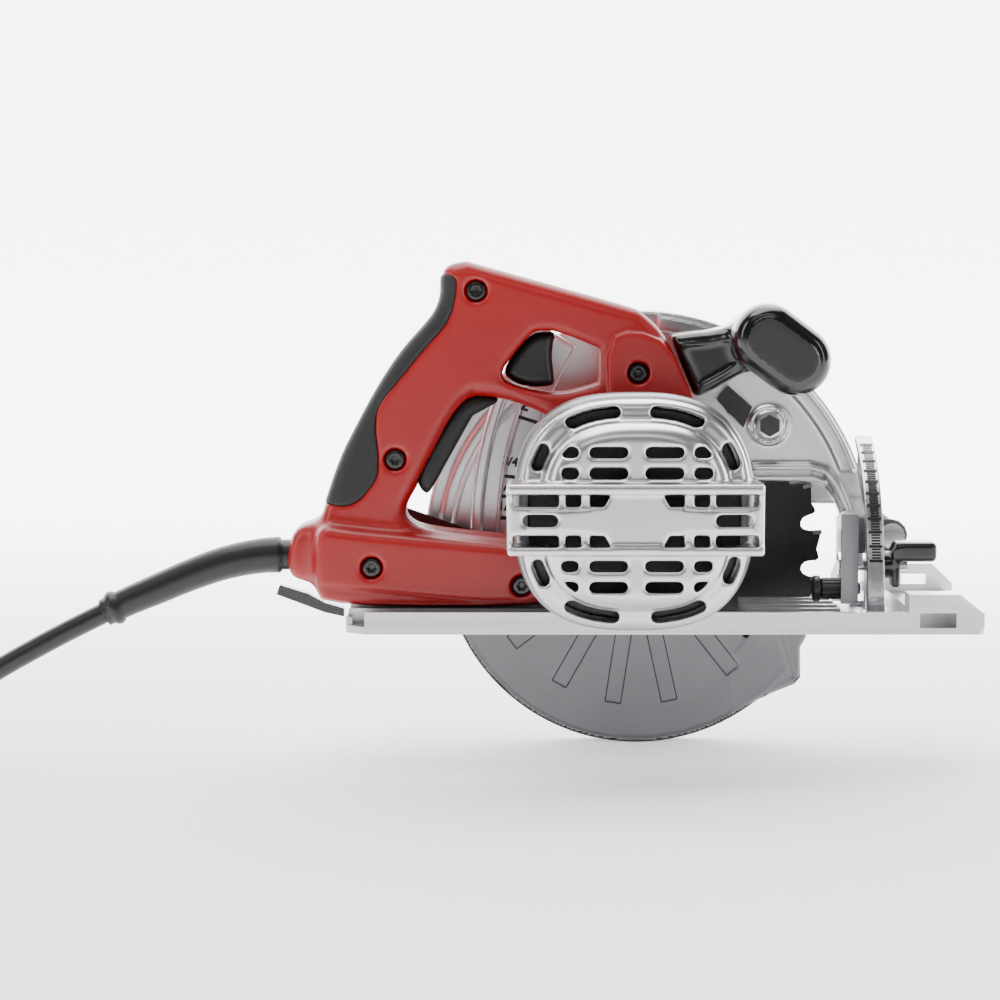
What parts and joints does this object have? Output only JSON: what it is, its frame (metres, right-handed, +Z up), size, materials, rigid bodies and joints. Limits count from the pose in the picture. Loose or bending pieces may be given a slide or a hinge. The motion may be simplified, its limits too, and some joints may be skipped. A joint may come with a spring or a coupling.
{
  "type": "circular saw",
  "caption": "Corded left-blade circular saw with sidewinder motor, D handle, bar front handle, retracting lower guard, bevel quadrant, depth arc and ribbed sole plate.",
  "frame": {"origin": "on the underside of the sole plate, on its solid skin under the motor", "axes": "+X is the cutting direction, +Y points from the motor towards the blade, +Z is up"},
  "size_m": [0.654, 0.215, 0.237],
  "materials": {
    "magnesium": "die-cast magnesium, clear coated, satin",
    "dark_magnesium": "grey painted die casting, satin",
    "guard_aluminium": "pressed aluminium, satin grey",
    "zinc_steel": "zinc plated pressed steel",
    "bearing_steel": "ground bearing steel",
    "laminated_steel": "stacked laminations",
    "black_blade": "black friction coating",
    "black_metal": "black oxide and lacquer",
    "red_nylon": "moulded glass filled nylon, satin",
    "black_nylon": "moulded nylon, fine texture",
    "gloss_black_nylon": "moulded nylon, half gloss",
    "rubber": "overmoulded elastomer",
    "cord_rubber": "rubber jacket",
    "copper": "enamelled copper wire",
    "brass": "stamped brass",
    "carbon": "pressed carbon"
  },
  "bodies": {
    "sole": {"sole_plate": "magnesium", "bevel_quadrant": "magnesium", "front_hinge_bracket": "zinc_steel", "rear_hinge_bracket": "zinc_steel", "front_hinge_pin": "zinc_steel", "rear_hinge_pin": "zinc_steel"},
    "bevel_frame": {"front_tilt_bracket": "zinc_steel", "depth_bracket": "magnesium", "depth_pivot_bolt": "zinc_steel", "bevel_bolt": "zinc_steel"},
    "bevel_clamp": {"bevel_lever": "black_metal"},
    "stop_knob": {"bevel_stop_knob": "black_nylon"},
    "cutting_head": {"upper_guard": "magnesium", "gear_case": "magnesium", "guard_stop_bolt": "black_metal", "guard_return_spring": "zinc_steel", "spindle_bearing": "bearing_steel", "depth_lock_bolt": "zinc_steel", "blade_wrench": "black_metal", "motor_housing": "dark_magnesium", "motor_end_cap": "magnesium", "stator_core": "laminated_steel", "field_coil_front": "copper", "field_coil_rear": "copper", "front_bearing": "bearing_steel", "rear_bearing": "bearing_steel", "brush_left": "carbon", "brush_right": "carbon", "brush_holder_left": "brass", "brush_holder_right": "brass", "handle_motor_side": "red_nylon", "handle_blade_side": "red_nylon", "rear_grip": "rubber", "inner_grip": "rubber", "front_handle": "gloss_black_nylon", "trigger_switch": "black_nylon", "handle_screw_1": "black_metal", "handle_screw_2": "black_metal", "handle_screw_3": "black_metal", "handle_screw_4": "black_metal", "handle_screw_5": "black_metal", "strain_relief": "cord_rubber", "power_cord": "cord_rubber", "cord_coil": "cord_rubber", "power_plug": "cord_rubber"},
    "lower_blade_guard": {"lower_guard": "guard_aluminium"},
    "lock_button": {"spindle_lock_button": "black_nylon"},
    "depth_clamp": {"depth_lock_lever": "black_metal"},
    "arbor_set": {"spindle": "bearing_steel", "drive_gear": "bearing_steel", "inner_flange": "zinc_steel", "saw_blade": "black_blade", "outer_flange": "zinc_steel", "blade_bolt": "zinc_steel"},
    "armature": {"armature_shaft": "bearing_steel", "armature_core": "laminated_steel", "commutator": "copper", "cooling_fan": "black_nylon", "motor_pinion": "bearing_steel"},
    "trigger_lever": {"trigger": "black_nylon"}
  },
  "joints": [
    {"name": "bevel_tilt", "type": "hinge", "parent": "sole", "child": "bevel_frame", "pos_m": [0, 0.055, 0.012], "axis": [-1, 0, 0], "range_deg": [0, 50]},
    {"name": "depth_swing", "type": "hinge", "parent": "bevel_frame", "child": "cutting_head", "pos_m": [0.1235, 0.0375, 0.039], "axis": [0, 1, 0], "range_deg": [0, 29]},
    {"name": "bevel_lever_turn", "type": "hinge", "parent": "bevel_frame", "child": "bevel_clamp", "pos_m": [0.118, -0.0118, 0.0293], "axis": [1, 0, 0], "range_deg": [-40, 0]},
    {"name": "stop_knob_turn", "type": "hinge", "parent": "bevel_frame", "child": "stop_knob", "pos_m": [0.09, -0.021, 0.019], "axis": [1, 0, 0], "range_deg": [-170, 170]},
    {"name": "lower_guard_swing", "type": "hinge", "parent": "cutting_head", "child": "lower_blade_guard", "pos_m": [0, 0.055, 0.031], "axis": [0, 1, 0], "range_deg": [0, 130], "stiffness_Nm_per_rad": 0.15, "springref_deg": -45.84},
    {"name": "spindle_lock_press", "type": "slide", "parent": "cutting_head", "child": "lock_button", "axis": [0, 1, 0], "range_m": [0, 0.003], "stiffness_N_per_m": 300, "springref_m": -0.002},
    {"name": "depth_lever_turn", "type": "hinge", "parent": "cutting_head", "child": "depth_clamp", "pos_m": [-0.0722, 0.028, 0.0342], "axis": [0, 1, 0], "range_deg": [0, 35]},
    {"name": "blade_spin", "type": "hinge", "parent": "cutting_head", "child": "arbor_set", "pos_m": [0, 0.055, 0.031], "axis": [0, 1, 0], "continuous": true},
    {"name": "armature_spin", "type": "hinge", "parent": "cutting_head", "child": "armature", "pos_m": [-0.0065, -0.025, 0.05566], "axis": [0, 1, 0], "continuous": true},
    {"name": "trigger_pull", "type": "slide", "parent": "cutting_head", "child": "trigger_lever", "axis": [-0.5501, 0, 0.8351], "range_m": [0, 0.005], "stiffness_N_per_m": 900, "springref_m": -0.003}
  ],
  "couplings": [
    {"joint": "armature_spin", "follows": "blade_spin", "ratio": -4.1}
  ]
}
